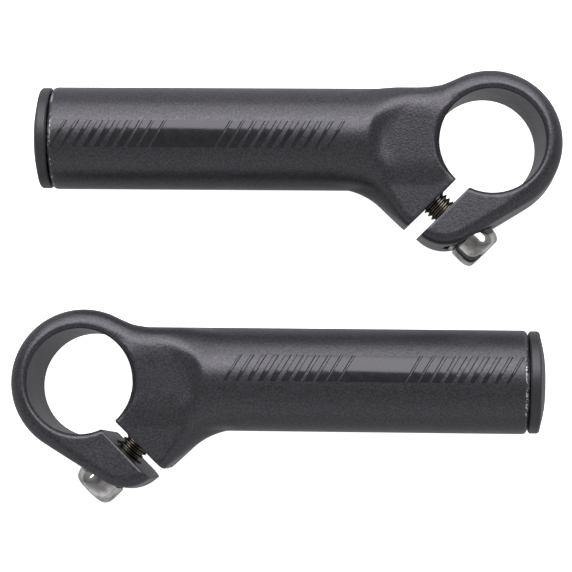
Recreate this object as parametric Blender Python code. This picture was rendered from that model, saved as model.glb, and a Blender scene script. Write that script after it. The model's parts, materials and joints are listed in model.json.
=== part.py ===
"""A pair of short bicycle bar ends, left and right, lying on their sides.

Each bar end is a hollow alloy tube forged in one with a clamp that goes round the end of a handlebar.
The clamp is a ring with a slit. The loose jaw beside the slit is drawn to the fixed jaw by one M6 bolt
with a washer, and a plastic plug closes the open end of the tube.

Frame: metres, +Z up. The pair lies on z = 0 with the origin at the centre of its footprint. The tubes
run along X and the left bar end is on the +Y side. Each bar end is built in a frame of its own, with the
centre of the clamp's bore at the origin, the tube along -X and the slit on the -Y side. The right bar
end is its mirror image in X. Screw threads are plain cylinders of the thread's outer diameter.
"""

import math

import bmesh
import bpy
from mathutils import Matrix, Vector

MM = 0.001
GAP = 0.3 * MM                      # clearance between neighbouring pieces

# Handlebar clamp
BORE_RADIUS = 11.15 * MM            # for a 22.2 mm bar
BORE_LEAN = math.radians(6.5)       # bore axis against the tube's square, about Y
CLAMP_WIDTH = 16.0 * MM
RING_RADIUS = 15.4 * MM
RING_CENTRE = (0.35 * MM, 0.05 * MM)
EDGE_ROUND = 2.6 * MM               # rounding round the clamp's rim
RIM_CHAMFER = 0.5 * MM              # at both ends of the bore

# Slit, in the clamp's frame: U runs outward along the slit, N across it towards the loose jaw
SLIT_WIDTH = 3.2 * MM
SLIT_OFFSET = 2.1 * MM              # N of the slit's middle, from the bore's centre
SLIT_DIRECTION = math.radians(225)
FLEX_U = -13.3 * MM                 # U of the bend in the ring's far wall

# Jaws
TIP_RADIUS = 8.1 * MM
TIP_CENTRE = (-9.1 * MM, -14.1 * MM)
TIP_ANGLE = math.radians(225.5)
FIXED_CORNER = (-17.5 * MM, -18.0 * MM)
NECK_RADIUS = 16.0 * MM             # hollow of the neck on the slit side
NECK_START = -33.0 * MM             # X where that hollow leaves the tube
NECK_ANGLE = math.radians(38.7)     # slope that the hollow ends in
SHOULDER_START = -16.0 * MM         # X where the other side rises to the ring
ROOT_HALF = 6.5 * MM                # half-height of the clamp's end that stays inside the tube
ROOT_TAPER = 9.0 * MM               # length over which that end narrows

# Tube
TUBE_RADIUS = 11.1 * MM
TUBE_BORE = 8.6 * MM                # radius
TUBE_OFFSET = 1.15 * MM             # Y of the tube's axis
TUBE_END = -93.4 * MM               # X of the open end
TUBE_ROOT = -9.0 * MM               # X where the round body ends inside the clamp
ROOT_ROUND = 4.0 * MM
TUBE_BORE_END = -40.0 * MM
TUBE_EDGE = 1.0 * MM
MOUTH_CHAMFER = 0.35 * MM
SCOOP_CENTRE = -10.5 * MM           # X of the round dish that thins the neck to the clamp
SCOOP_RADIUS = 14.5 * MM
SCOOP_HEIGHT = 8.0 * MM             # the dish's sloping wall, higher than the tube stands proud

# Bolt, washer and their seat
BOLT_U = 16.9 * MM
THREAD_RADIUS = 3.0 * MM            # M6
BOLT_LENGTH = 20.0 * MM
POINT_CHAMFER = 0.8 * MM
HEAD_RADIUS = 4.85 * MM
HEAD_HEIGHT = 5.1 * MM
HEAD_ROUND = 1.35 * MM
HEAD_EDGE = 0.3 * MM                # broken edge under the head
SOCKET_RADIUS = 2.9 * MM            # across the corners of a 5 mm hex
SOCKET_DEPTH = 2.8 * MM
SEAT_N = 8.5 * MM                   # the loose jaw's spot face
BOLT_BACK = {"left": 0.8 * MM, "right": 0.0}    # how far each bolt and its washer are backed out
WASHER_THICKNESS = 1.0 * MM
WASHER_RADIUS = 4.75 * MM
WASHER_HOLE = 3.3 * MM
WASHER_EDGE = 0.2 * MM
SPOT_RADIUS = 5.3 * MM
CLEARANCE_HOLE = 3.45 * MM          # through the loose jaw
TAPPED_HOLE = 3.3 * MM              # in the fixed jaw, at the thread's outside with clearance
TAPPED_END = -11.5 * MM             # N of the tapped hole's floor

# End plug
PLUG_RADIUS = 10.85 * MM
PLUG_FLANGE = 3.4 * MM              # from the tube's end to the dome's flat middle
PLUG_DOME = 1.1 * MM                # rise of the dome above its rim
PLUG_FLAT = 4.2 * MM                # radius of the flat middle
PLUG_EDGE = 0.7 * MM
PLUG_STEM = 8.0 * MM                # radius
PLUG_RIB = 8.25 * MM                # radius over the ribs
PLUG_RIBS = 3
RIB_START = 1.5 * MM                # from the flange to the first rib
RIB_SLOPE = 0.6 * MM                # length of a rib's lead-in
STEM_CHAMFER = 0.5 * MM
PLUG_LENGTH = 15.0 * MM
PLUG_WALL = 1.4 * MM
PLUG_FLOOR = -0.5 * MM              # where the hollow stem ends under the flange

# The pair
PAIR_SPAN = (84.92 * MM, 51.75 * MM) # from the right bore's centre to the left one's
FOOTPRINT_SHIFT = 5.066 * MM        # Y from the footprint's centre to the middle of the two bores

SEGMENTS = 48
SMALL_SEGMENTS = 24
CUT_DEPTH = 60 * MM                 # longer than anything a cutter passes through
OVERCUT = 3 * MM                    # how far a cutter runs past the face that it opens in

PARTS = "bar_end_pair"
CUTTERS = "cutters"


def new_collection(name):
    bpy.context.scene.collection.children.link(bpy.data.collections.new(name))


def material(name, colour, roughness, metallic):
    mat = bpy.data.materials.new(name)
    mat.use_nodes = True
    shader = mat.node_tree.nodes["Principled BSDF"]
    shader.inputs["Base Color"].default_value = (*colour, 1)
    shader.inputs["Roughness"].default_value = roughness
    shader.inputs["Metallic"].default_value = metallic
    return mat


def object_from(bm, name, collection, matrix=Matrix()):
    """Put a bmesh into a new object, its faces pointing out."""
    bmesh.ops.recalc_face_normals(bm, faces=bm.faces)
    if bm.calc_volume(signed=True) < 0:
        bmesh.ops.reverse_faces(bm, faces=bm.faces)
    mesh = bpy.data.meshes.new(name)
    bm.to_mesh(mesh)
    bm.free()
    obj = bpy.data.objects.new(name, mesh)
    obj.matrix_world = matrix
    bpy.data.collections[collection].objects.link(obj)
    return obj


def cutter(bm, name, matrix=Matrix()):
    obj = object_from(bm, name, CUTTERS, matrix)
    obj.hide_render = True
    obj.display_type = "WIRE"
    return obj


def cylinder(radius, start, end, segments=SEGMENTS, end_radius=None):
    """A closed cylinder or cone along +Z from start to end."""
    bm = bmesh.new()
    middle = Matrix.Translation((0, 0, (start + end) / 2))
    top = radius if end_radius is None else end_radius
    bmesh.ops.create_cone(bm, cap_ends=True, segments=segments, radius1=radius, radius2=top,
                          depth=end - start, matrix=middle)
    return bm


def block(low, high):
    bm = bmesh.new()
    size = Vector(high) - Vector(low)
    place = Matrix.Translation((Vector(high) + Vector(low)) / 2) @ Matrix.Diagonal((*size, 1))
    bmesh.ops.create_cube(bm, size=1, matrix=place)
    return bm


def turned(profile, segments=SEGMENTS):
    """Revolve (radius, z) points, listed from top to bottom on the outside, round Z into a solid."""
    bm = bmesh.new()
    points = [bm.verts.new((radius, 0, z)) for radius, z in profile]
    for a, b in zip(points, points[1:] + points[:1]):
        if a.co.x > 0 or b.co.x > 0:
            bm.edges.new((a, b))
    bmesh.ops.spin(bm, geom=bm.verts[:] + bm.edges[:], cent=(0, 0, 0), axis=(0, 0, 1),
                   angle=2 * math.pi, steps=segments, use_merge=True, use_duplicate=False)
    bmesh.ops.remove_doubles(bm, verts=bm.verts, dist=1e-6)
    bmesh.ops.dissolve_degenerate(bm, edges=bm.edges, dist=1e-7)
    return bm


def rounded(radius, z, size, quarter, steps=4):
    """Points of a quarter-round of the given size, its corner at (radius, z).

    quarter "top" goes from the flat end out to the side, and "bottom" from the side in to the flat.
    """
    points = []
    for i in range(steps + 1):
        angle = math.pi / 2 * i / steps
        if quarter == "top":
            points.append((radius - size + size * math.sin(angle), z - size + size * math.cos(angle)))
        else:
            points.append((radius - size + size * math.cos(angle), z + size - size * math.sin(angle)))
    return points


def boolean(obj, tool, operation):
    modifier = obj.modifiers.new(operation.title(), "BOOLEAN")
    modifier.operation = operation
    modifier.object = tool
    modifier.solver = "EXACT"


def arc(centre, radius, start, end, steps):
    """Points on an arc, both ends included."""
    points = []
    for i in range(steps + 1):
        angle = start + (end - start) * i / steps
        points.append((centre[0] + radius * math.cos(angle), centre[1] + radius * math.sin(angle)))
    return points


def clamp_outline():
    """The clamp's outline in XY, anticlockwise, with its slit still closed."""
    tube_top = TUBE_OFFSET + TUBE_RADIUS
    tube_bottom = TUBE_OFFSET - TUBE_RADIUS
    ring_x, ring_y = RING_CENTRE

    # The underside is the line that touches both the tip's round and the ring
    dx, dy = ring_x - TIP_CENTRE[0], ring_y - TIP_CENTRE[1]
    span = math.hypot(dx, dy)
    tangent = math.atan2(dy, dx) - math.pi / 2 - math.asin((RING_RADIUS - TIP_RADIUS) / span)

    # The shoulder is a hollow arc that touches the ring and the tube's side
    reach = ring_x - SHOULDER_START
    drop = tube_top - ring_y
    hollow = (reach ** 2 + drop ** 2 - RING_RADIUS ** 2) / (2 * (RING_RADIUS - drop))
    hollow_centre = (SHOULDER_START, tube_top + hollow)
    touch = math.atan2(hollow_centre[1] - ring_y, hollow_centre[0] - ring_x)

    neck_centre = (NECK_START, tube_bottom - NECK_RADIUS)
    points = [(NECK_START, TUBE_OFFSET - ROOT_HALF)]
    points += arc(neck_centre, NECK_RADIUS, math.radians(66), math.pi / 2 - NECK_ANGLE, 4)
    points += [FIXED_CORNER]
    points += arc(TIP_CENTRE, TIP_RADIUS, TIP_ANGLE, 2 * math.pi + tangent, 7)
    points += arc(RING_CENTRE, RING_RADIUS, tangent, touch, 20)
    points += arc(hollow_centre, hollow, touch - math.pi, -math.pi / 2, 5)[1:-1]
    points += [(NECK_START + ROOT_TAPER, TUBE_OFFSET + 1.25 * ROOT_HALF)]
    points += [(NECK_START, TUBE_OFFSET + ROOT_HALF)]
    return points


def clamp_plate():
    """The clamp as a plate with rounded rims, centred on z = 0."""
    bm = bmesh.new()
    face = bm.faces.new([bm.verts.new((x, y, -CLAMP_WIDTH / 2)) for x, y in clamp_outline()])
    raised = bmesh.ops.extrude_face_region(bm, geom=[face])["geom"]
    new_verts = [item for item in raised if isinstance(item, bmesh.types.BMVert)]
    bmesh.ops.translate(bm, verts=new_verts, vec=(0, 0, CLAMP_WIDTH))
    rims = [edge for edge in bm.edges if abs(edge.verts[0].co.z - edge.verts[1].co.z) < 1e-6]
    bmesh.ops.bevel(bm, geom=rims, offset=EDGE_ROUND, offset_type="OFFSET", segments=3, profile=0.5,
                    affect="EDGES", clamp_overlap=True)
    return bm


def along_x(x=0.0, y=0.0):
    """A frame whose Z runs along the bar end's -X."""
    return Matrix.Translation((x, y, 0)) @ Matrix.Rotation(-math.pi / 2, 4, "Y")


def clamp_frame():
    """The bore's frame: Z along the leaning bore."""
    return Matrix.Rotation(BORE_LEAN, 4, "Y")


def slit_frame():
    """X is U, out along the slit, Y is the reverse of the bore's axis and Z is N, across the slit."""
    u = Vector((math.cos(SLIT_DIRECTION), math.sin(SLIT_DIRECTION), 0))
    n = Vector((-u.y, u.x, 0))
    down = n.cross(u)
    rotation = Matrix((u, down, n)).transposed().to_4x4()
    return clamp_frame() @ rotation


def bolt_frame():
    return slit_frame() @ Matrix.Translation((BOLT_U, 0, 0))


def tube_solid():
    """The round body from the open end to inside the clamp, with its drilled hollow."""
    length = TUBE_ROOT - TUBE_END
    hollow = TUBE_BORE_END - TUBE_END
    cone = TUBE_BORE * math.tan(math.radians(30))
    profile = rounded(TUBE_RADIUS, 0, TUBE_EDGE, "top", 3)
    profile += rounded(TUBE_RADIUS, -length, ROOT_ROUND, "bottom", 5)
    profile += [(0, -length), (0, -hollow - cone), (TUBE_BORE, -hollow)]
    profile += [(TUBE_BORE, -MOUTH_CHAMFER), (TUBE_BORE + MOUTH_CHAMFER, 0)]
    return turned(profile)


def scoop(side):
    """The cutter that thins the neck to the clamp's width on one side."""
    half = CLAMP_WIDTH / 2
    bm = cylinder(SCOOP_RADIUS, half, half + SCOOP_HEIGHT, SEGMENTS, SCOOP_RADIUS + 0.75 * SCOOP_HEIGHT)
    if side < 0:
        bmesh.ops.rotate(bm, verts=bm.verts, cent=(0, 0, 0), matrix=Matrix.Rotation(math.pi, 3, "X"))
    bmesh.ops.translate(bm, verts=bm.verts, vec=(SCOOP_CENTRE, TUBE_OFFSET, 0))
    return bm


def bore_cutter():
    """The bore with its rim chamfers."""
    half = CLAMP_WIDTH / 2
    flare = RIM_CHAMFER + OVERCUT
    profile = [(BORE_RADIUS + flare, half + OVERCUT), (BORE_RADIUS, half - RIM_CHAMFER)]
    profile += [(BORE_RADIUS, RIM_CHAMFER - half), (BORE_RADIUS + flare, -half - OVERCUT)]
    profile += [(0, -half - OVERCUT), (0, half + OVERCUT)]
    return turned(profile)


def forging(side_name):
    """The whole forging before it is split: plate and tube joined, dished and drilled."""
    name = side_name + "_forging"
    solid = object_from(clamp_plate(), name, CUTTERS)
    tube = cutter(tube_solid(), name + "_tube", along_x(TUBE_END, TUBE_OFFSET))
    for side in (1, -1):
        boolean(tube, cutter(scoop(side), name + "_scoop"), "DIFFERENCE")
    boolean(solid, tube, "UNION")
    boolean(solid, cutter(bore_cutter(), name + "_bore", clamp_frame()), "DIFFERENCE")

    low_n = SLIT_OFFSET - SLIT_WIDTH / 2
    slit = block((0, -CUT_DEPTH, low_n), (CUT_DEPTH, CUT_DEPTH, low_n + SLIT_WIDTH))
    boolean(solid, cutter(slit, name + "_slit", slit_frame()), "DIFFERENCE")
    tapped = cylinder(TAPPED_HOLE, TAPPED_END, SLIT_OFFSET, SMALL_SEGMENTS)
    boolean(solid, cutter(tapped, name + "_tapped", bolt_frame()), "DIFFERENCE")
    clearance = cylinder(CLEARANCE_HOLE, SLIT_OFFSET, SEAT_N + MM, SMALL_SEGMENTS)
    boolean(solid, cutter(clearance, name + "_clearance", bolt_frame()), "DIFFERENCE")
    spot = cylinder(SPOT_RADIUS, SEAT_N, CUT_DEPTH)
    boolean(solid, cutter(spot, name + "_spot", bolt_frame()), "DIFFERENCE")
    return baked(solid)


def baked(obj):
    """The evaluated mesh of an object, as a bmesh in world space. The object is removed."""
    bpy.context.view_layer.update()
    depsgraph = bpy.context.evaluated_depsgraph_get()
    mesh = bpy.data.meshes.new_from_object(obj.evaluated_get(depsgraph))
    mesh.transform(obj.matrix_world)
    bm = bmesh.new()
    bm.from_mesh(mesh)
    bpy.data.meshes.remove(mesh)
    bpy.data.objects.remove(obj)
    bmesh.ops.remove_doubles(bm, verts=bm.verts, dist=2e-6)
    bmesh.ops.dissolve_degenerate(bm, edges=bm.edges, dist=2e-6)
    return bm


def split_forging(bm, keep_jaw):
    """Cut the forging at the bend: everything past the slit on the N side is the loose jaw.

    The dividing surface is the slit's middle plane. It only meets metal in the ring's far wall, where
    each part stands half a gap back from it.
    """
    side = 1 if keep_jaw else -1
    frame = slit_frame()
    point = frame @ Vector((0, 0, SLIT_OFFSET + side * GAP / 2))
    normal = frame.to_3x3() @ Vector((0, 0, -side))
    cut = bm.copy()
    bmesh.ops.bisect_plane(cut, geom=cut.verts[:] + cut.edges[:] + cut.faces[:], dist=1e-7,
                           plane_co=point, plane_no=normal, clear_outer=True)
    bmesh.ops.holes_fill(cut, edges=[edge for edge in cut.edges if edge.is_boundary])
    return cut


def bolt_solid():
    """Screw with its head's underside at z = 0 and its point at -BOLT_LENGTH; the socket is cut later."""
    profile = [(0, HEAD_HEIGHT)]
    profile += rounded(HEAD_RADIUS, HEAD_HEIGHT, HEAD_ROUND, "top", 5)
    profile += rounded(HEAD_RADIUS, 0, HEAD_EDGE, "bottom", 1)
    profile += [(THREAD_RADIUS, 0), (THREAD_RADIUS, POINT_CHAMFER - BOLT_LENGTH)]
    profile += [(THREAD_RADIUS - POINT_CHAMFER, -BOLT_LENGTH), (0, -BOLT_LENGTH)]
    return turned(profile, SMALL_SEGMENTS)


def washer_solid():
    """Washer standing on z = 0."""
    profile = rounded(WASHER_RADIUS, WASHER_THICKNESS, WASHER_EDGE, "top", 1)
    profile += rounded(WASHER_RADIUS, 0, WASHER_EDGE, "bottom", 1)
    profile += [(WASHER_HOLE, 0), (WASHER_HOLE, WASHER_THICKNESS)]
    return turned(profile, SMALL_SEGMENTS)


def plug_solid():
    """Plug with its flange's inner face at z = 0, dome up and hollow ribbed stem down."""
    rim = PLUG_FLANGE - PLUG_DOME
    dome_edge = PLUG_RADIUS - PLUG_EDGE
    profile = [(0, PLUG_FLANGE), (PLUG_FLAT, PLUG_FLANGE)]
    for share in (0.4, 0.75):
        radius = PLUG_FLAT + share * (dome_edge - PLUG_FLAT)
        profile.append((radius, PLUG_FLANGE - PLUG_DOME * share ** 1.6))
    profile += rounded(PLUG_RADIUS, rim, PLUG_EDGE, "top", 3)
    profile += [(PLUG_RADIUS, 0), (PLUG_STEM, 0)]
    pitch = (PLUG_LENGTH - RIB_START - STEM_CHAMFER) / PLUG_RIBS
    for i in range(PLUG_RIBS):
        z = -RIB_START - i * pitch
        profile += [(PLUG_STEM, z), (PLUG_RIB, z - RIB_SLOPE), (PLUG_STEM, z - 0.45 * pitch)]
    inside = PLUG_STEM - PLUG_WALL
    profile += [(PLUG_STEM - STEM_CHAMFER, -PLUG_LENGTH), (inside, -PLUG_LENGTH)]
    profile += [(inside, PLUG_FLOOR), (0, PLUG_FLOOR)]
    return turned(profile)


def finish_part(bm, name, mat, frame, pivot, mirror):
    """Make the node: its origin at the pivot, its mesh given in the bar end's own frame."""
    if mirror:
        flip = Matrix.Diagonal((-1, 1, 1, 1))
        bm.transform(flip)
        pivot = flip @ pivot
    bm.transform(Matrix.Translation(-pivot))
    obj = object_from(bm, name, PARTS)
    obj.parent = frame
    obj.location = pivot
    obj.data.materials.append(mat)
    obj.data.shade_smooth()
    obj.data.set_sharp_from_angle(angle=math.radians(35))
    return obj


def build_bar_end(side_name, location, mirror, mats):
    frame = bpy.data.objects.new(side_name + "_bar_end", None)
    frame.location = location
    bpy.data.collections[PARTS].objects.link(frame)

    metal = forging(side_name)
    flex = slit_frame() @ Vector((FLEX_U, 0, SLIT_OFFSET))
    axle = bolt_frame() @ Vector((0, 0, SEAT_N))
    tube_axis = Vector((TUBE_END, TUBE_OFFSET, 0))
    finish_part(split_forging(metal, False), side_name + "_body", mats["forging"], frame,
                Vector((0, 0, 0)), mirror)
    finish_part(split_forging(metal, True), side_name + "_clamp_jaw", mats["forging"], frame, flex, mirror)
    metal.free()

    washer = washer_solid()
    washer_n = SEAT_N + GAP + BOLT_BACK[side_name]
    washer.transform(bolt_frame() @ Matrix.Translation((0, 0, washer_n)))
    finish_part(washer, side_name + "_washer", mats["steel"], frame, axle, mirror)

    plug = plug_solid()
    plug.transform(along_x(TUBE_END - GAP, TUBE_OFFSET))
    finish_part(plug, side_name + "_end_plug", mats["plastic"], frame, tube_axis, mirror)

    head_n = washer_n + WASHER_THICKNESS + GAP
    bolt = bolt_solid()
    bolt.transform(bolt_frame() @ Matrix.Translation((0, 0, head_n)))
    bolt_obj = finish_part(bolt, side_name + "_clamp_bolt", mats["steel"], frame, axle, mirror)
    socket = cylinder(SOCKET_RADIUS, HEAD_HEIGHT - SOCKET_DEPTH, HEAD_HEIGHT + MM, 6)
    socket.transform(bolt_frame() @ Matrix.Translation((0, 0, head_n)))
    if mirror:
        socket.transform(Matrix.Diagonal((-1, 1, 1, 1)))
    socket.transform(Matrix.Translation(location))
    boolean(bolt_obj, cutter(socket, side_name + "_socket"), "DIFFERENCE")


def main():
    for obj in list(bpy.data.objects):
        bpy.data.objects.remove(obj)
    new_collection(PARTS)
    new_collection(CUTTERS)
    mats = {
        "forging": material("satin_black_alloy", (0.035, 0.034, 0.038), 0.42, 0.6),
        "steel": material("polished_steel", (0.62, 0.61, 0.60), 0.18, 1.0),
        "plastic": material("black_plastic", (0.02, 0.02, 0.022), 0.45, 0.0),
    }
    half_x, half_y = PAIR_SPAN[0] / 2, PAIR_SPAN[1] / 2
    height = TUBE_RADIUS
    build_bar_end("left", Vector((half_x, half_y + FOOTPRINT_SHIFT, height)), False, mats)
    build_bar_end("right", Vector((-half_x, -half_y + FOOTPRINT_SHIFT, height)), True, mats)


main()
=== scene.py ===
"""The finished look of a pair of short bicycle bar ends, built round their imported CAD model."""

import json
import math

import bmesh
import bpy
import numpy as np
from mathutils import Matrix, Vector


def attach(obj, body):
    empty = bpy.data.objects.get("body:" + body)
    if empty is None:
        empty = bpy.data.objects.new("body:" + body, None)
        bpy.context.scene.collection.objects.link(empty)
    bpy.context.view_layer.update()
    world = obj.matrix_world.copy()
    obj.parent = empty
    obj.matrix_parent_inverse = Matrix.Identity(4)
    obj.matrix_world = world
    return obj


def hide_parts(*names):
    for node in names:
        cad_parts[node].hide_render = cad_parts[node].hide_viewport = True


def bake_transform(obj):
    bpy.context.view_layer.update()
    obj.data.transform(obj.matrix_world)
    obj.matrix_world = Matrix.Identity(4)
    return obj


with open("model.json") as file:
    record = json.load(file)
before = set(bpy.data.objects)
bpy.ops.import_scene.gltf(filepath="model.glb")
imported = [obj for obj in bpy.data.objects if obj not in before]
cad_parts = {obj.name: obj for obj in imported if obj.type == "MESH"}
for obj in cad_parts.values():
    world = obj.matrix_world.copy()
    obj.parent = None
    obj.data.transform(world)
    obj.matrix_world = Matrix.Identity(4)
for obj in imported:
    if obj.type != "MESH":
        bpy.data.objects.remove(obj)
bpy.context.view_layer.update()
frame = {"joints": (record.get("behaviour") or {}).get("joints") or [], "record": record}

MM = 0.001
FLIP = {"left": 1, "right": -1}      # the right bar end is the left one's mirror image along X

# ---------------------------------------------------------------- dimensions

# Lengths are in millimetres in a bar end's own frame: bore centre at the origin, tube along -X, slit on
# the -Y side. U runs out along the slit and N across it, both from the bore's centre.

# Clamp
BORE_RADIUS = 11.15
BORE_LEAN = math.radians(6.5)
CLAMP_HALF = 8.0                     # half of the clamp's width
CLAMP_MOUNT_X = -14.0                # where the record's mounts on the clamp's faces are
RING_CENTRE = (0.35, 0.05)
RING_RADIUS = 15.37
RIM_CHAMFER = 0.65
RING_ROUND = 3.6                     # rounding of the ring's outer edges
JAW_ROUND = 2.3                      # and of the jaws'
ROUND_CHANGE = (10.0, 0.0)           # the U over which the jaws' rounding turns into the ring's
SHOULDER_ROUND = 4.0                 # rounding of the neck on the side away from the slit
SHOULDER_INSET = 0.8
SLIT_LOW = 0.5                       # the N of the slit's two faces
SLIT_HIGH = 3.7
SLIT_DIRECTION = math.radians(225)
TIP_CENTRE = (-9.1, -14.1)
TIP_RADIUS = 8.1
TIP_ANGLE = math.radians(225.5)
FIXED_CORNER = (-17.5, -18.0)

# Neck. In SIDE_ROUND_START, SIDE_SINK and SIDE_SINK_START the first value is for the slit's side and the
# second for the shoulder's
NECK_RADIUS = 16.0
NECK_START = -33.0
NECK_ANGLE = math.radians(38.7)
NECK_SLOPE = 0.05                    # its faces fall away towards the slit from this Y
NECK_LEVEL = 2.0
NECK_SKEW = 0.35                     # the fall comes in over this span of X + NECK_SKEW * Y
NECK_FALL = (-4.0, -12.0)
SHOULDER_START = -16.0
SIDE_CHANGE = (-4.0, 4.0)            # the Y over which the slit's side turns into the shoulder's
SIDE_ROUND_START = (-17.0, -5.0)     # the X from which the edges grow rounder towards the tube
ROUND_LENGTH = 9.0
SHOULDER_SQUARE = (-24.0, -16.0)     # the X over which the shoulder gets its own rounding
SIDE_SINK = (0.3, 2.0)               # how deep the plate sinks into the tube at its end
SIDE_SINK_START = (-22.0, -20.0)     # and the X from which it does

# Tube
TUBE_RADIUS = 10.98                  # the relief stands proud of it, to 11.1
TUBE_OFFSET = 1.15
TUBE_END = -93.4
TUBE_EDGE = 1.0
TUBE_ROOT = -9.0
TUBE_ROOT_ROUND = 3.0
TUBE_BORE = 8.6
TUBE_BORE_END = -40.0
DRILL_ANGLE = math.radians(30)       # slope of the drilled end
SCOOP_CENTRE = (-10.8, -0.4)
SCOOP_RADIUS = 14.0
SCOOP_FILLET = 4.5
SCOOP_BLEND = 2.0
NECK_BLEND = (0.1, 2.4)              # width of the crease between plate and tube, low down and high up
NECK_BLEND_HEIGHT = (1.5, 6.0)       # the heights from the middle plane between which it changes

# Bolt seat and holes
BOLT_U = 16.9
SEAT_N = 8.5
BOLT_BACK = {"left": 0.8, "right": 0.0}         # how far each bolt and its washer are backed out
SPOT_RADIUS = 5.3
CLEARANCE_HOLE = 3.45
CLEARANCE_CUT = (3.0, SEAT_N + 1)    # from and to, along N
TAPPED_HOLE = 3.15
TAPPED_CUT = (-11.5, 1.0)

# How far the forging's edges are broken
MOUTH_BREAK = 0.4
BORE_BREAK = 0.15
SLIT_BREAK = 0.12
HOLE_BREAK = 0.2

# Sampling of the forging: (step, up to) along X, from just outside the tube's mouth
SAMPLE_STEP = 0.34
SAMPLE_START = TUBE_END - 1.5
SAMPLE_X = ((0.3, TUBE_END + 2.1), (2.2, NECK_START - 10), (0.9, NECK_START), (SAMPLE_STEP, 18.0))
SAMPLE_Y = (-24.0, 18.0)
SAMPLE_Z = (-12.5, 12.5)
WORN_LENGTH = 0.7                    # the rubbed band at the tube's mouth

# Bolt and washer
HEAD_RADIUS = 4.85
HEAD_HEIGHT = 5.1
HEAD_FLAT = 3.5
HEAD_SHOULDER = 2.6                  # height of the domed part
HEAD_DOME_STEPS = 12
HEAD_NECK = 2.4
HEAD_EDGE = 0.3
SOCKET_APOTHEM = 2.5
SOCKET_CHAMFER = 0.25
SOCKET_DEPTH = 2.8
SOCKET_CONE = 1.2
THREAD_RADIUS = 3.0
THREAD_DEPTH = 0.61                  # share of the pitch
THREAD_POINT = 0.9                   # how much the rod's tip is narrower
THREAD_MARKS = ((0.0, 0), (0.16, 0), (0.46, 1), (0.62, 1))     # share of the pitch, share of the depth
THREAD_SEGMENTS = 48
PITCH = 1.0
BOLT_LENGTH = 20.0
FINE_SEGMENTS = 96                   # round the bolt's head and the plug
COARSE_SEGMENTS = 64                 # round the washer
WASHER_RADIUS = 4.75
WASHER_HOLE = 3.3
WASHER_THICKNESS = 1.0
WASHER_EDGE = 0.25
GAP = 0.3

# End plug. Heights are from its flange's inner face, out along the tube
PLUG_RADIUS = 10.85
PLUG_FLANGE = 3.4
PLUG_DOME = 1.1
PLUG_DOME_POWER = 1.6
PLUG_DOME_STEPS = 8
PLUG_FLAT = 4.2
PLUG_EDGE = 0.6
PLUG_EDGE_STEPS = 5
PLUG_STEP = 0.15                     # between the flange's edge and the dome
PLUG_BACK_EDGE = 0.3
PLUG_STEM = 8.0
PLUG_TIP = 0.5                       # how much the stem's tip is narrower
PLUG_LENGTH = 15.0
PLUG_WALL = 1.4
PLUG_FLOOR = -0.5
PLUG_RIB = 8.25
PLUG_RIBS = 3
PLUG_RIB_START = -1.5
PLUG_LEAD = 2.0                      # length of the stem that has no ribs
PLUG_RIB_BACK = 0.6                  # from a rib's foot to its crest
PLUG_RIB_SHARE = 0.45                # share of the pitch that a rib takes up

# Relief: slanted stripes, a band and stripes again, on the side of the tube that faces up
RELIEF_START = {"left": -91.1, "right": -90.7}
RELIEF_MIDDLE = {"left": -0.65, "right": 1.95}  # on the arc from the tube's top towards +Y
RELIEF_STRIPES = (9, 10)             # before and after the band
RELIEF_PITCH = 2.575
RELIEF_THIN = 0.3
RELIEF_WIDE = 1.88
RELIEF_BAND = 13.3
RELIEF_WIDTH = 5.6
RELIEF_LEAN = 3.2
RELIEF_HEIGHT = 0.12
RELIEF_SLOPE = 0.2
RELIEF_SUNK = 0.25
RELIEF_STEPS = 8

# Finishes
GRAIN_SCALE = 2600                   # per metre
GRAIN_HEIGHT = 0.00007               # metres
PLASTIC_GRAIN_HEIGHT = 0.00004
ANODISED_IOR = 1.65
ANODISED_TINT = (0.95, 0.92, 1.0, 1)
NOISE_RANGE = (0.3, 0.7)             # noise hardly leaves these values
PATCH_WEIGHT = 0.7                   # of the patches that the specks gather in
SPECK_STOPS = (0.91, 0.98)           # black below, bare metal above

# Camera and light
# Positions are from the middle between the two bores, and the frame is the width seen at the target
CAMERA_PLACE = (23.61, -53.65, 480.03)
CAMERA_TARGET = (-0.34, -4.67, 0.0)
CAMERA_ROLL = math.radians(0.77)
FRAME_WIDTH = 122.2
FLOOR_SIZE = 40.0                    # metres
FLOOR_SHADE = 0.9
FLOOR_GLOW = 1.0
BOARD_SIZE = 8.0                     # metres
BOARD_SHADE = 0.5
BOARD_GLOW = 0.3
BOARD_DROP = 0.3                     # the board lies this far under the floor
# Directions below are angles in degrees from straight up towards +Y, in the plane square to the tubes
SOFTBOX_DISTANCE = 1200
SOFTBOX_LENGTH = 2100
SOFTBOXES = (("main_softbox", 15, 47, 4.2), ("side_softbox", 47, 75, 2.3))      # from, to, radiance
ROOM = ((-180, 0.20), (-150, 0.25), (-127, 0.45), (-97, 0.68), (-82, 0.80), (-67, 0.70), (-37, 0.33),
        (-7, 0.15), (10, 0.25), (90, 0.30), (110, 0.20), (142, 0.40), (155, 0.25), (180, 0.20))
SENSOR_WIDTH = 36


# ---------------------------------------------------------------- fields: distances in mm

def smooth_max(a, b, k):
    """The larger of two distances, with the crease between them rounded over a width of about k."""
    h = np.maximum(k - np.abs(a - b), 0) / k
    return np.maximum(a, b) + h * h * k / 4


def smooth_min(a, b, k):
    """The smaller of two distances, with the crease between them filled over a width of about k."""
    return -smooth_max(-a, -b, k)


def rounded_solid(across, along, radius):
    """Distance to the body that is inside both distances, its rim rounded with the given radius."""
    p = across + radius
    q = along + radius
    return np.hypot(np.maximum(p, 0), np.maximum(q, 0)) + np.minimum(np.maximum(p, q), 0) - radius


def arc(centre, radius, start, end, steps):
    """Points on an arc, both ends among them."""
    angles = np.linspace(start, end, steps + 1)
    return [(centre[0] + radius * math.cos(a), centre[1] + radius * math.sin(a)) for a in angles]


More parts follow.
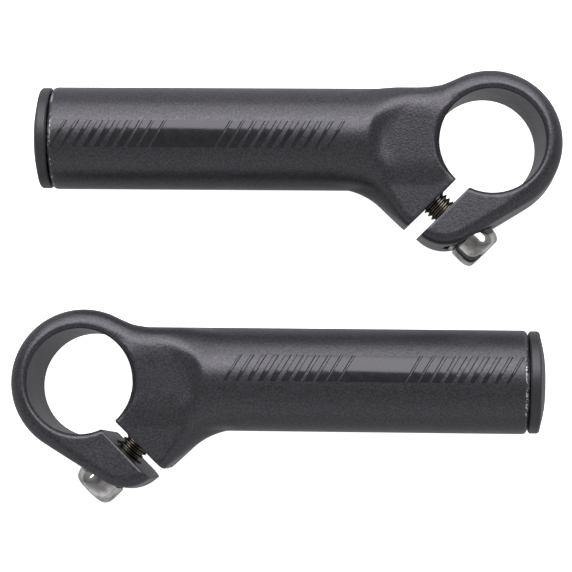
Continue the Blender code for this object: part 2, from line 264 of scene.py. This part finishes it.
def clamp_outline():
    """The clamp's outline in XY, anticlockwise, with its slit still closed."""
    tube_top = TUBE_OFFSET + TUBE_RADIUS
    tube_bottom = TUBE_OFFSET - TUBE_RADIUS
    ring_x, ring_y = RING_CENTRE

    # The underside touches both the loose jaw's tip and the ring
    dx, dy = ring_x - TIP_CENTRE[0], ring_y - TIP_CENTRE[1]
    tilt = math.asin((RING_RADIUS - TIP_RADIUS) / math.hypot(dx, dy))
    tangent = math.atan2(dy, dx) - math.pi / 2 - tilt

    # The shoulder is a hollow arc that touches the ring and the tube's side
    reach = ring_x - SHOULDER_START
    drop = tube_top - ring_y
    hollow = (reach ** 2 + drop ** 2 - RING_RADIUS ** 2) / (2 * (RING_RADIUS - drop))
    hollow_centre = (SHOULDER_START, tube_top + hollow)
    touch = math.atan2(hollow_centre[1] - ring_y, hollow_centre[0] - ring_x)

    points = arc((NECK_START, tube_bottom - NECK_RADIUS), NECK_RADIUS, math.pi / 2,
                 math.pi / 2 - NECK_ANGLE, steps=16)
    points += [FIXED_CORNER]
    points += arc(TIP_CENTRE, TIP_RADIUS, TIP_ANGLE, 2 * math.pi + tangent, steps=20)
    points += arc(RING_CENTRE, RING_RADIUS, tangent, touch, steps=60)
    points += arc(hollow_centre, hollow, touch - math.pi, -math.pi / 2, steps=14)[1:]
    points += [(NECK_START, tube_top)]
    return np.array(points)


OUTLINE = clamp_outline()


def outline_distance(x, y):
    """Signed distance from points in XY to the clamp's outline, negative inside."""
    x, y = np.broadcast_arrays(x, y)
    nearest = np.full(x.shape, np.inf)
    inside = np.zeros(x.shape, bool)
    for (ax, ay), (bx, by) in zip(OUTLINE, np.roll(OUTLINE, -1, axis=0)):
        ex, ey = bx - ax, by - ay
        t = np.clip(((x - ax) * ex + (y - ay) * ey) / (ex * ex + ey * ey), 0, 1)
        nearest = np.minimum(nearest, (x - ax - t * ex) ** 2 + (y - ay - t * ey) ** 2)
        if ay != by:
            inside ^= ((ay > y) != (by > y)) & (x < ax + (y - ay) * ex / ey)
    return np.where(inside, -1, 1) * np.sqrt(nearest)


def smoothstep(low, high, value):
    """0 before low and 1 after high, smooth between them."""
    t = np.clip((value - low) / (high - low), 0, 1)
    return t * t * (3 - 2 * t)


def mix(first, second, share):
    return first + (second - first) * share


def clamp_coordinates(x, y, z):
    """U, N and W, which runs along the leaning bore; then X in the bore's own frame."""
    across = x * math.cos(BORE_LEAN) - z * math.sin(BORE_LEAN)
    w = x * math.sin(BORE_LEAN) + z * math.cos(BORE_LEAN)
    ux, uy = math.cos(SLIT_DIRECTION), math.sin(SLIT_DIRECTION)
    return across * ux + y * uy, -across * uy + y * ux, w, across


def forging_field(x, y, z):
    """Distance to the whole forging, negative inside the metal."""
    u, n, w, across = clamp_coordinates(x, y, z)

    # Plate: ring, neck and both jaws. Its edges turn from the tube's roundness to the clamp's
    shoulder = smoothstep(*SIDE_CHANGE, y)
    square = shoulder * smoothstep(*SHOULDER_SQUARE, x)
    turned = smoothstep(0.0, ROUND_LENGTH, mix(*SIDE_ROUND_START, shoulder) - x)
    edge = mix(JAW_ROUND, RING_ROUND, smoothstep(*ROUND_CHANGE, u))
    edge = mix(edge, mix(CLAMP_HALF, SHOULDER_ROUND, square), turned)
    inset = SHOULDER_INSET * square * turned
    fall = smoothstep(*NECK_FALL, x + NECK_SKEW * y) * smoothstep(SLIT_HIGH, SLIT_LOW, n)
    top = CLAMP_HALF - NECK_SLOPE * (NECK_LEVEL - y) * fall
    plate = rounded_solid(outline_distance(x, y) + inset, np.abs(z) - top, edge)
    sink_start = mix(*SIDE_SINK_START, shoulder)
    plate = plate + mix(*SIDE_SINK, shoulder) * smoothstep(sink_start, NECK_START, x)

    # Tube: a round bar, dished on both sides where it meets the clamp
    radial = np.hypot(y - TUBE_OFFSET, z)
    bar = rounded_solid(radial - TUBE_RADIUS, x - TUBE_ROOT, TUBE_ROOT_ROUND)
    bar = rounded_solid(bar, TUBE_END - x, TUBE_EDGE)
    dish = rounded_solid(np.hypot(x - SCOOP_CENTRE[0], y - SCOOP_CENTRE[1]) - SCOOP_RADIUS,
                         top - np.abs(z), SCOOP_FILLET)
    bar = smooth_max(bar, -dish, SCOOP_BLEND)
    blend = mix(*NECK_BLEND, smoothstep(*NECK_BLEND_HEIGHT, np.abs(z)))
    metal = smooth_min(plate, bar, blend)

    # Hollow of the tube, with a drilled end
    cone = radial + (x - TUBE_BORE_END) / math.tan(DRILL_ANGLE) - TUBE_BORE
    hollow = np.maximum(radial - TUBE_BORE, cone * math.sin(DRILL_ANGLE))
    metal = smooth_max(metal, -hollow, MOUTH_BREAK)

    # Bore and its rim chamfers
    bore = np.hypot(across, y) - BORE_RADIUS
    flare = (bore + top - RIM_CHAMFER - np.abs(z)) / math.sqrt(2)
    metal = smooth_max(metal, -np.minimum(bore, flare), BORE_BREAK)

    slit = np.maximum(np.maximum(SLIT_LOW - n, n - SLIT_HIGH), -u)
    metal = smooth_max(metal, -slit, SLIT_BREAK)

    # Holes and seat for the bolt
    hole = np.hypot(u - BOLT_U, w)
    tapped = np.maximum(hole - TAPPED_HOLE, np.maximum(TAPPED_CUT[0] - n, n - TAPPED_CUT[1]))
    clearance = np.maximum(hole - CLEARANCE_HOLE, np.maximum(CLEARANCE_CUT[0] - n, n - CLEARANCE_CUT[1]))
    spot = np.maximum(hole - SPOT_RADIUS, SEAT_N - n)
    metal = smooth_max(metal, -np.minimum(tapped, clearance), HOLE_BREAK)
    return smooth_max(metal, -spot, HOLE_BREAK)


def surface_net(field, axes):
    """Vertices and quads on a sampled field's zero level: one vertex in each cell that it crosses."""
    cells = np.array(field.shape) - 1
    size = int(np.prod(cells))
    total = np.zeros((size, 3))
    count = np.zeros(size)
    quads = []
    for axis in range(3):
        side_a, side_b = (axis + 1) % 3, (axis + 2) % 3
        low = np.moveaxis(field, axis, 0)[:-1]
        high = np.moveaxis(field, axis, 0)[1:]
        order = [axis] + [other for other in range(3) if other != axis]
        hits = np.argwhere((low < 0) != (high < 0))
        a, b = low[tuple(hits.T)], high[tuple(hits.T)]
        index = np.empty_like(hits)
        index[:, order] = hits
        spots = np.stack([axes[i][index[:, i]] for i in range(3)], axis=1)
        step = axes[axis][index[:, axis] + 1] - axes[axis][index[:, axis]]
        spots[:, axis] += step * a / (a - b)
        ring = []
        for back_a, back_b in ((1, 1), (0, 1), (0, 0), (1, 0)):
            cell = index.copy()
            cell[:, side_a] -= back_a
            cell[:, side_b] -= back_b
            flat = np.ravel_multi_index(cell.T, cells)
            for i in range(3):
                total[:, i] += np.bincount(flat, spots[:, i], size)
            count += np.bincount(flat, minlength=size)
            ring.append(flat)
        ring = np.stack(ring, axis=1)
        ring[a > 0] = ring[a > 0][:, ::-1]
        quads.append(ring)
    used = np.flatnonzero(count)
    place = np.full(size, -1)
    place[used] = np.arange(len(used))
    return total[used] / count[used, None], place[np.concatenate(quads)]


def settle(points, field, rounds=3, reach=0.3, small=0.01, least=0.25):
    """Move points onto a field's zero level, along its slope, by up to reach in each round.

    small is the step that the slope is measured over, and least the lowest square of it that counts.
    """
    for _ in range(rounds):
        value = field(*points.T)
        slope = np.empty_like(points)
        for i in range(3):
            moved = points.copy()
            moved[:, i] += small
            slope[:, i] = (field(*moved.T) - value) / small
        square = np.maximum(np.sum(slope ** 2, axis=1), least)
        shift = -(value / square)[:, None] * slope
        points = points + np.clip(shift, -reach, reach)
    return points


def grid_axis(start, *stretches):
    """Sample positions from start on, in stretches of (step, up to)."""
    points = []
    for step, end in stretches:
        count = max(1, round((end - start) / step))
        points.append(np.linspace(start, end, count, endpoint=False))
        start = end
    return np.concatenate(points + [[start]])


# ---------------------------------------------------------------- meshes

def link_object(name, mesh, matrix):
    """Put a mesh in the scene as a smooth object, taking it through the matrix."""
    mesh.transform(matrix)
    if matrix.determinant() < 0:
        mesh.flip_normals()
    mesh.shade_smooth()
    obj = bpy.data.objects.new(name, mesh)
    bpy.context.scene.collection.objects.link(obj)
    return obj


def fill_bmesh(points, faces):
    bm = bmesh.new()
    verts = [bm.verts.new(point) for point in points]
    for face in faces:
        bm.faces.new([verts[i] for i in face])
    return bm


def bmesh_object(name, bm, matrix, sharp):
    """Make a closed bmesh into an object whose edges over the angle sharp, in degrees, aren't smooth."""
    bmesh.ops.recalc_face_normals(bm, faces=bm.faces)
    mesh = bpy.data.meshes.new(name)
    bm.to_mesh(mesh)
    bm.free()
    obj = link_object(name, mesh, matrix)
    mesh.set_sharp_from_angle(angle=math.radians(sharp))
    return obj


# ---------------------------------------------------------------- the forgings

def forging_surface():
    """A bar end's forging: points, quads, and which quads are worn."""
    xs = grid_axis(SAMPLE_START, *SAMPLE_X)
    ys = grid_axis(SAMPLE_Y[0], (SAMPLE_STEP, SAMPLE_Y[1]))
    zs = grid_axis(SAMPLE_Z[0], (SAMPLE_STEP, SAMPLE_Z[1]))
    field = forging_field(xs[:, None, None], ys[None, :, None], zs[None, None, :])
    points, quads = surface_net(field, (xs, ys, zs))
    points = settle(points, forging_field)
    return points, quads, worn_faces(points[quads].mean(axis=1))


def worn_faces(middles):
    """Which faces are on the edge that rubs: the tube's mouth."""
    x, y, z = middles.T
    return (x < TUBE_END + WORN_LENGTH) & (np.hypot(y - TUBE_OFFSET, z) > TUBE_RADIUS - TUBE_EDGE)


def forging(name, points, faces, worn, matrix):
    """The forging as an object whose worn faces take its second material."""
    mesh = bpy.data.meshes.new(name)
    mesh.from_pydata(points.tolist(), [], faces.tolist())
    mesh.polygons.foreach_set("material_index", worn.astype(np.int32))
    obj = link_object(name, mesh, matrix)
    mesh.validate()
    return obj


# ---------------------------------------------------------------- turned pieces

def turned_piece(name, rings, matrix, segments):
    """An object from rings of (radius, z) that start and end on the axis, or that close into a loop.

    A radius may be a function of the angle.
    """
    angles = np.linspace(0, 2 * math.pi, segments, endpoint=False)
    points, faces = [], []
    for radius, z in rings:
        radii = radius(angles) if callable(radius) else np.full(segments, radius)
        points += zip(radii * np.cos(angles), radii * np.sin(angles), np.full(segments, z))
    for row in range(len(rings) - 1):
        low = row * segments
        for i in range(segments):
            j = (i + 1) % segments
            faces.append((low + i, low + j, low + segments + j, low + segments + i))
    bm = fill_bmesh(points, faces)
    bmesh.ops.remove_doubles(bm, verts=bm.verts, dist=1e-5)
    bmesh.ops.dissolve_degenerate(bm, edges=bm.edges, dist=1e-6)
    return bmesh_object(name, bm, matrix, sharp=38)


def quarter(radius, z, size, steps):
    """Rings round a quarter-circle edge, from the side onto the top."""
    angles = (math.pi / 2 * i / steps for i in range(steps + 1))
    return [(radius - size + size * math.cos(a), z - size + size * math.sin(a)) for a in angles]


def hexagon(apothem):
    """Radius of a hexagon against the angle."""
    def radius(angles):
        turn = np.mod(angles, math.pi / 3) - math.pi / 6
        return apothem / np.cos(turn)
    return radius


def bolt_rings():
    """The bolt's head and socket, from under the head over the top and down into the socket."""
    rings = [(0, 0), (HEAD_NECK, 0), (HEAD_RADIUS - HEAD_EDGE, 0), (HEAD_RADIUS, HEAD_EDGE)]
    for i in range(HEAD_DOME_STEPS + 1):
        angle = math.pi / 2 * i / HEAD_DOME_STEPS
        rings.append((HEAD_FLAT + (HEAD_RADIUS - HEAD_FLAT) * math.cos(angle),
                      HEAD_HEIGHT - HEAD_SHOULDER + HEAD_SHOULDER * math.sin(angle)))
    bottom = HEAD_HEIGHT - SOCKET_DEPTH
    rings += [(hexagon(SOCKET_APOTHEM + SOCKET_CHAMFER), HEAD_HEIGHT),
              (hexagon(SOCKET_APOTHEM), HEAD_HEIGHT - SOCKET_CHAMFER),
              (hexagon(SOCKET_APOTHEM), bottom), (0, bottom - SOCKET_CONE)]
    return rings


def threaded_rod(name, matrix):
    """A right-hand thread down from z = 0, as one closed solid.

    Each row of points is one mark of the thread's profile, and climbs by a pitch in one turn round the
    rod, so its end meets the start of the row one turn further up.
    """
    segments = THREAD_SEGMENTS
    turns = math.ceil(BOLT_LENGTH / PITCH) + 1
    rows = [((turn + share) * PITCH - BOLT_LENGTH - PITCH, crest) for turn in range(turns + 1)
            for share, crest in THREAD_MARKS]
    heights, crests = np.array(rows, float).T
    points, faces = [], []
    for z, _ in rows:
        for i in range(segments):
            angle = 2 * math.pi * i / segments
            climb = PITCH * i / segments
            height = min(max(z + climb, -BOLT_LENGTH), 0.0)
            depth = THREAD_DEPTH * PITCH * (1 - np.interp(height - climb, heights, crests))
            radius = min(THREAD_RADIUS - depth, THREAD_RADIUS - THREAD_POINT + height + BOLT_LENGTH)
            points.append((radius * math.cos(angle), radius * math.sin(angle), height))
    for row in range(len(rows) - 1):
        for i in range(segments):
            a = row * segments + i
            if i < segments - 1:
                faces.append((a, a + 1, a + segments + 1, a + segments))
            elif row + len(THREAD_MARKS) + 1 < len(rows):
                wrap = (row + len(THREAD_MARKS)) * segments
                faces.append((a, wrap, wrap + segments, a + segments))
    bm = fill_bmesh(points, faces)
    bmesh.ops.remove_doubles(bm, verts=bm.verts, dist=1e-4)
    bmesh.ops.dissolve_degenerate(bm, edges=bm.edges, dist=1e-4)
    bmesh.ops.holes_fill(bm, edges=[edge for edge in bm.edges if edge.is_boundary])
    return bmesh_object(name, bm, matrix, sharp=30)


def washer_rings():
    """Once round the washer's section."""
    return [(WASHER_HOLE, 0), (WASHER_RADIUS - WASHER_EDGE, 0), (WASHER_RADIUS, WASHER_EDGE),
            (WASHER_RADIUS, WASHER_THICKNESS - WASHER_EDGE), (WASHER_RADIUS - WASHER_EDGE, WASHER_THICKNESS),
            (WASHER_HOLE, WASHER_THICKNESS), (WASHER_HOLE, 0)]


def plug_rings():
    """From the bottom of the stem's hollow down its inside, then up over ribs, flange and dome."""
    rings = [(0, PLUG_FLOOR), (PLUG_STEM - PLUG_WALL, PLUG_FLOOR), (PLUG_STEM - PLUG_WALL, -PLUG_LENGTH),
             (PLUG_STEM - PLUG_TIP, -PLUG_LENGTH)]
    pitch = (PLUG_LENGTH - PLUG_LEAD) / PLUG_RIBS
    for i in reversed(range(PLUG_RIBS)):
        z = PLUG_RIB_START - i * pitch
        rings += [(PLUG_STEM, z - PLUG_RIB_SHARE * pitch), (PLUG_RIB, z - PLUG_RIB_BACK), (PLUG_STEM, z)]
    rings += [(PLUG_STEM, 0), (PLUG_RADIUS - PLUG_BACK_EDGE, 0), (PLUG_RADIUS, PLUG_BACK_EDGE)]
    rings += quarter(PLUG_RADIUS, PLUG_FLANGE - PLUG_DOME, PLUG_EDGE, PLUG_EDGE_STEPS)
    dome_edge = PLUG_RADIUS - PLUG_EDGE - PLUG_STEP
    for i in range(PLUG_DOME_STEPS):
        share = 1 - i / PLUG_DOME_STEPS
        rings.append((mix(PLUG_FLAT, dome_edge, share), PLUG_FLANGE - PLUG_DOME * share ** PLUG_DOME_POWER))
    rings += [(PLUG_FLAT, PLUG_FLANGE), (0, PLUG_FLANGE)]
    return rings


# ---------------------------------------------------------------- relief on the tube

def relief_patch(bm, low, high, lean, middle):
    """A thin closed plate on the tube: x from low to high halfway up it, leaning over along x."""
    base = TUBE_RADIUS - RELIEF_SUNK
    top = TUBE_RADIUS + RELIEF_HEIGHT
    section = ((low - RELIEF_SLOPE, base), (low - RELIEF_SLOPE, TUBE_RADIUS), (low, top),
               (high, top), (high + RELIEF_SLOPE, TUBE_RADIUS), (high + RELIEF_SLOPE, base))
    rows = []
    for i in range(RELIEF_STEPS + 1):
        share = i / RELIEF_STEPS - 0.5
        angle = (middle + share * RELIEF_WIDTH) / TUBE_RADIUS
        rows.append([bm.verts.new((x + lean * share, TUBE_OFFSET + radius * math.sin(angle),
                                   radius * math.cos(angle))) for x, radius in section])
    for lower, upper in zip(rows, rows[1:]):
        for k in range(len(section)):
            m = (k + 1) % len(section)
            bm.faces.new((lower[k], lower[m], upper[m], upper[k]))
    bm.faces.new(rows[0])
    bm.faces.new(rows[-1][::-1])


def relief_spans(side):
    """(start, end) along X of the relief's shapes, from the plug towards the clamp."""
    spans = []
    end = RELIEF_START[side] + RELIEF_THIN
    before, after = RELIEF_STRIPES
    for i in range(before):
        spans.append((end - mix(RELIEF_THIN, RELIEF_WIDE, i / (before - 1)), end))
        end += RELIEF_PITCH
    start = end - RELIEF_WIDE
    spans.append((start, start + RELIEF_BAND))
    start += RELIEF_BAND + RELIEF_PITCH - RELIEF_WIDE
    for i in range(after):
        spans.append((start, start + mix(RELIEF_WIDE, RELIEF_THIN, i / (after - 1))))
        start += RELIEF_PITCH
    return spans


def relief(name, side, matrix):
    """All of a tube's relief as one object. Both tubes' stripes lean the same way in the row frame."""
    bm = bmesh.new()
    for low, high in relief_spans(side):
        relief_patch(bm, low, high, RELIEF_LEAN * FLIP[side], RELIEF_MIDDLE[side])
    return bmesh_object(name, bm, matrix, sharp=30)


# ---------------------------------------------------------------- materials

def new_material(name):
    mat = bpy.data.materials.new(name)
    mat.use_nodes = True
    nodes, links = mat.node_tree.nodes, mat.node_tree.links
    return mat, nodes, links, nodes["Principled BSDF"]


def noise(nodes, links, scale, detail):
    """Noise in the piece's own coordinates, which are in metres."""
    node = nodes.new("ShaderNodeTexNoise")
    node.inputs["Scale"].default_value = scale
    node.inputs["Detail"].default_value = detail
    links.new(nodes.new("ShaderNodeTexCoord").outputs["Object"], node.inputs["Vector"])
    return node.outputs["Fac"]


def ramp(nodes, links, value, *stops):
    """A colour for a value, from two stops of (value, colour)."""
    node = nodes.new("ShaderNodeValToRGB")
    for element, (position, colour) in zip(node.color_ramp.elements, stops):
        element.position = position
        element.color = (*colour, 1)
    links.new(value, node.inputs["Fac"])
    return node.outputs["Color"]


def map_noise(nodes, links, value, low, high):
    """Noise stretched to go from low to high."""
    node = nodes.new("ShaderNodeMapRange")
    node.inputs["From Min"].default_value, node.inputs["From Max"].default_value = NOISE_RANGE
    node.inputs["To Min"].default_value = low
    node.inputs["To Max"].default_value = high
    links.new(value, node.inputs["Value"])
    return node.outputs["Result"]


def bump(nodes, links, height, strength, distance):
    node = nodes.new("ShaderNodeBump")
    node.inputs["Strength"].default_value = strength
    node.inputs["Distance"].default_value = distance
    links.new(height, node.inputs["Height"])
    return node.outputs["Normal"]


def anodised_black():
    """Bead-blasted and anodised alloy: near black, with a fine sparkling grain."""
    mat, nodes, links, shader = new_material("anodised_black")
    grain = noise(nodes, links, GRAIN_SCALE, detail=2)
    cloud = noise(nodes, links, 160, detail=3)
    colour = ramp(nodes, links, grain, (0.38, (0.032, 0.031, 0.035)), (0.62, (0.060, 0.058, 0.066)))
    links.new(colour, shader.inputs["Base Color"])
    links.new(map_noise(nodes, links, cloud, 0.30, 0.35), shader.inputs["Roughness"])
    links.new(bump(nodes, links, grain, strength=0.6, distance=GRAIN_HEIGHT), shader.inputs["Normal"])
    shader.inputs["Metallic"].default_value = 0.5
    shader.inputs["IOR"].default_value = ANODISED_IOR
    shader.inputs["Specular Tint"].default_value = ANODISED_TINT
    return mat


def worn_black():
    """The same finish on an edge, rubbed through to bright metal in small specks."""
    mat, nodes, links, shader = new_material("worn_black")
    gather = nodes.new("ShaderNodeMath")
    gather.operation = "MULTIPLY_ADD"
    links.new(noise(nodes, links, 170, detail=1), gather.inputs[0])
    gather.inputs[1].default_value = PATCH_WEIGHT
    links.new(noise(nodes, links, 1900, detail=3), gather.inputs[2])
    specks = gather.outputs[0]
    intact, bare = SPECK_STOPS
    metal = ramp(nodes, links, specks, (intact, (0, 0, 0)), (bare, (1, 1, 1)))
    colour = ramp(nodes, links, specks, (intact, (0.020, 0.020, 0.024)), (bare, (0.62, 0.61, 0.60)))
    links.new(colour, shader.inputs["Base Color"])
    links.new(metal, shader.inputs["Metallic"])
    links.new(map_noise(nodes, links, specks, 0.28, 0.42), shader.inputs["Roughness"])
    links.new(bump(nodes, links, specks, strength=0.5, distance=GRAIN_HEIGHT), shader.inputs["Normal"])
    shader.inputs["IOR"].default_value = ANODISED_IOR
    shader.inputs["Specular Tint"].default_value = ANODISED_TINT
    return mat


def burnished_black():
    """The same finish where the surface is smooth: the relief."""
    mat, nodes, links, shader = new_material("burnished_black")
    cloud = noise(nodes, links, 700, detail=3)
    colour = ramp(nodes, links, cloud, (0.3, (0.012, 0.012, 0.014)), (0.7, (0.018, 0.018, 0.021)))
    links.new(colour, shader.inputs["Base Color"])
    links.new(map_noise(nodes, links, cloud, 0.12, 0.17), shader.inputs["Roughness"])
    shader.inputs["IOR"].default_value = 1.54
    shader.inputs["Specular Tint"].default_value = ANODISED_TINT
    return mat


def steel(name, roughness, tint):
    """Steel with darker cloudy patches painted into its colour, which stand in for mottled dark reflections.
    """
    mat, nodes, links, shader = new_material(name)
    cloud = noise(nodes, links, 420, detail=2)
    # Half the tint: the colour of the painted dark reflections in the cloudy patches
    painted_dark_reflection = tuple(0.5 * value for value in tint)
    links.new(ramp(nodes, links, cloud, (0.36, painted_dark_reflection), (0.58, tint)), shader.inputs["Base Color"])
    polish = map_noise(nodes, links, cloud, roughness * 0.75, roughness * 1.35)
    links.new(polish, shader.inputs["Roughness"])
    shader.inputs["Metallic"].default_value = 1.0
    return mat


def black_plastic():
    """Satin moulded plastic with a very shallow grain."""
    mat, nodes, links, shader = new_material("moulded_plastic")
    grain = noise(nodes, links, GRAIN_SCALE, detail=2)
    colour = ramp(nodes, links, grain, (0.3, (0.020, 0.019, 0.023)), (0.7, (0.031, 0.030, 0.035)))
    links.new(colour, shader.inputs["Base Color"])
    links.new(map_noise(nodes, links, grain, 0.36, 0.44), shader.inputs["Roughness"])
    rough_normal = bump(nodes, links, grain, strength=0.25, distance=PLASTIC_GRAIN_HEIGHT)
    links.new(rough_normal, shader.inputs["Normal"])
    shader.inputs["Specular Tint"].default_value = (0.96, 0.93, 1.0, 1)
    return mat


def glowing_matt(name, shade, glow):
    """A matt surface that lights itself too, for the floor and the board."""
    mat, nodes, links, shader = new_material(name)
    shader.inputs["Base Color"].default_value = (shade, shade, shade, 1)
    shader.inputs["Roughness"].default_value = 0.9
    shader.inputs["Emission Color"].default_value = (1, 1, 1, 1)
    shader.inputs["Emission Strength"].default_value = glow
    return mat


# ---------------------------------------------------------------- assembly

def axis_matrix(origin, direction):
    """Millimetres along a piece's own Z to metres in the row frame."""
    turn = Vector(direction).to_track_quat("Z", "Y").to_matrix().to_4x4()
    return Matrix.Translation(origin) @ turn @ Matrix.Scale(MM, 4)


def named(items, name):
    return next(item for item in items if item["name"] == name)


def bore_centre(side):
    """The middle of a clamp's bore in the row frame, from the mount on the clamp's upper face."""
    x, y, z = named(frame["record"]["mounts"], side + "_clamp_top_face")["pos_m"]
    return Vector((x - FLIP[side] * CLAMP_MOUNT_X * MM, y, z - CLAMP_HALF * MM))


def dress(piece, mat, slot, *nodes, body=None):
    """Give a piece its material, the nodes that it stands for and the body that it rides on. The slot is not
    used.
    """
    piece.data.materials.append(mat)
    if nodes:
        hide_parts(*nodes)
    if body:
        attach(piece, body)


def build_bar_end(side, surface, mats):
    body, jaw, washer_body, bolt, plug_body = (
        side + name for name in ("_body", "_clamp_jaw", "_washer", "_clamp_bolt", "_end_plug"))
    centre = bore_centre(side)
    local = Matrix.Translation(centre) @ Matrix.Diagonal((FLIP[side], 1, 1, 1)) @ Matrix.Scale(MM, 4)

    turn = named(frame["joints"], side + "_bolt_turn")
    seat, out = Vector(turn["pos_m"]), Vector(turn["axis"])
    metal = forging(side + "_forging", *surface, local)
    dress(metal, mats["forging"], "forging", body, jaw)
    metal.data.materials.append(mats["worn"])
    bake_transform(metal)
    dress(relief(side + "_relief", side, local), mats["relief"], "forging", body=body)

    washer_base = seat + out * (GAP + BOLT_BACK[side]) * MM
    washer_matrix = axis_matrix(washer_base, out)
    washer = turned_piece(side + "_washer_ring", washer_rings(), washer_matrix, COARSE_SEGMENTS)
    dress(washer, mats["washer"], "steel", washer_body, body=washer_body)

    bolt_matrix = axis_matrix(washer_base + out * (WASHER_THICKNESS + GAP) * MM, out)
    head = turned_piece(side + "_bolt_head", bolt_rings(), bolt_matrix, FINE_SEGMENTS)
    dress(head, mats["head"], "steel", bolt, body=bolt)
    rod = threaded_rod(side + "_bolt_thread", bolt_matrix)
    dress(rod, mats["thread"], "steel", body=bolt)

    away = Vector(named(frame["joints"], side + "_plug_pull")["axis"])
    end = centre + Vector((FLIP[side] * TUBE_END, TUBE_OFFSET, 0)) * MM
    plug_matrix = axis_matrix(end + away * GAP * MM, away)
    plug = turned_piece(side + "_plug", plug_rings(), plug_matrix, FINE_SEGMENTS)
    dress(plug, mats["plastic"], "plastic", plug_body, body=plug_body)


def add_plane(name, size, height, mat):
    bpy.ops.mesh.primitive_plane_add(size=size, location=(0, 0, height))
    plane = bpy.context.object
    plane.name = name
    plane.data.materials.append(mat)
    return plane


def build_stage():
    """The floor that the camera sees, and under it a pale board that the bar ends see instead."""
    floor = add_plane("floor", FLOOR_SIZE, 0, glowing_matt("floor_white", FLOOR_SHADE, FLOOR_GLOW))
    floor.visible_glossy = False
    floor.visible_diffuse = False
    board = add_plane("bounce_board", BOARD_SIZE, -BOARD_DROP * MM,
                      glowing_matt("board_grey", BOARD_SHADE, BOARD_GLOW))
    board.visible_camera = False
    build_room()
    for softbox in SOFTBOXES:
        add_softbox(*softbox)


def build_room():
    """The studio round the bar ends: a soft grey that changes with the direction round the tubes."""
    world = bpy.data.worlds.new("studio")
    bpy.context.scene.world = world
    world.use_nodes = True
    nodes, links = world.node_tree.nodes, world.node_tree.links
    parts = nodes.new("ShaderNodeSeparateXYZ")
    links.new(nodes.new("ShaderNodeTexCoord").outputs["Generated"], parts.inputs[0])
    angle = nodes.new("ShaderNodeMath")
    angle.operation = "ARCTAN2"
    links.new(parts.outputs["Y"], angle.inputs[0])
    links.new(parts.outputs["Z"], angle.inputs[1])
    share = nodes.new("ShaderNodeMapRange")
    share.inputs["From Min"].default_value = -math.pi
    share.inputs["From Max"].default_value = math.pi
    links.new(angle.outputs[0], share.inputs["Value"])
    shades = nodes.new("ShaderNodeValToRGB")
    stops = shades.color_ramp.elements
    for i, (degrees, level) in enumerate(ROOM):
        place = (degrees + 180) / 360
        stop = stops[i] if i < 2 else stops.new(place)
        stop.position = place
        stop.color = (level, level, level, 1)
    links.new(share.outputs["Result"], shades.inputs["Fac"])
    links.new(shades.outputs["Color"], nodes["Background"].inputs["Color"])


def pair_middle():
    return (bore_centre("left") + bore_centre("right")) / 2


def add_softbox(name, start, end, radiance):
    """A panel along X that faces the bar ends and fills the directions from start to end."""
    low, high = (SOFTBOX_DISTANCE * Vector((0, math.sin(angle), math.cos(angle)))
                 for angle in (math.radians(start), math.radians(end)))
    data = bpy.data.lights.new(name, "AREA")
    data.shape = "RECTANGLE"
    data.size = SOFTBOX_LENGTH * MM
    data.size_y = (high - low).length * MM
    data.energy = math.pi * radiance * data.size * data.size_y
    light = bpy.data.objects.new(name, data)
    light.visible_camera = False
    bpy.context.scene.collection.objects.link(light)
    x, y = Vector((1, 0, 0)), (low - high).normalized()
    if x.cross(y).dot(low + high) < 0:
        y = -y
    light.matrix_world = (Matrix.Translation(pair_middle() + (low + high) / 2 * MM)
                          @ Matrix((x, y, x.cross(y))).transposed().to_4x4())


def place_camera():
    data = bpy.data.cameras.new("camera")
    camera = bpy.data.objects.new("camera", data)
    bpy.context.scene.collection.objects.link(camera)
    away = (Vector(CAMERA_PLACE) - Vector(CAMERA_TARGET)) * MM
    z = away.normalized()
    x = Vector((0, 1, 0)).cross(z).normalized()
    turn = Matrix((x, z.cross(x), z)).transposed() @ Matrix.Rotation(CAMERA_ROLL, 3, "Z")
    place = pair_middle() + Vector(CAMERA_PLACE) * MM
    camera.matrix_world = Matrix.Translation(place) @ turn.to_4x4()
    data.sensor_width = SENSOR_WIDTH
    data.lens = SENSOR_WIDTH * away.length / (FRAME_WIDTH * MM)
    data.clip_end = FLOOR_SIZE
    bpy.context.scene.camera = camera


def main():
    mats = {
        "forging": anodised_black(),
        "worn": worn_black(),
        "relief": burnished_black(),
        "head": steel("polished_steel", 0.09, (0.64, 0.625, 0.62)),
        "washer": steel("plated_washer", 0.18, (0.66, 0.66, 0.65)),
        "thread": steel("thread_steel", 0.30, (0.20, 0.18, 0.155)),
        "plastic": black_plastic(),
    }
    surface = forging_surface()
    for side in FLIP:
        build_bar_end(side, surface, mats)
    build_stage()
    place_camera()
    bpy.context.scene.view_settings.view_transform = "Standard"


main()
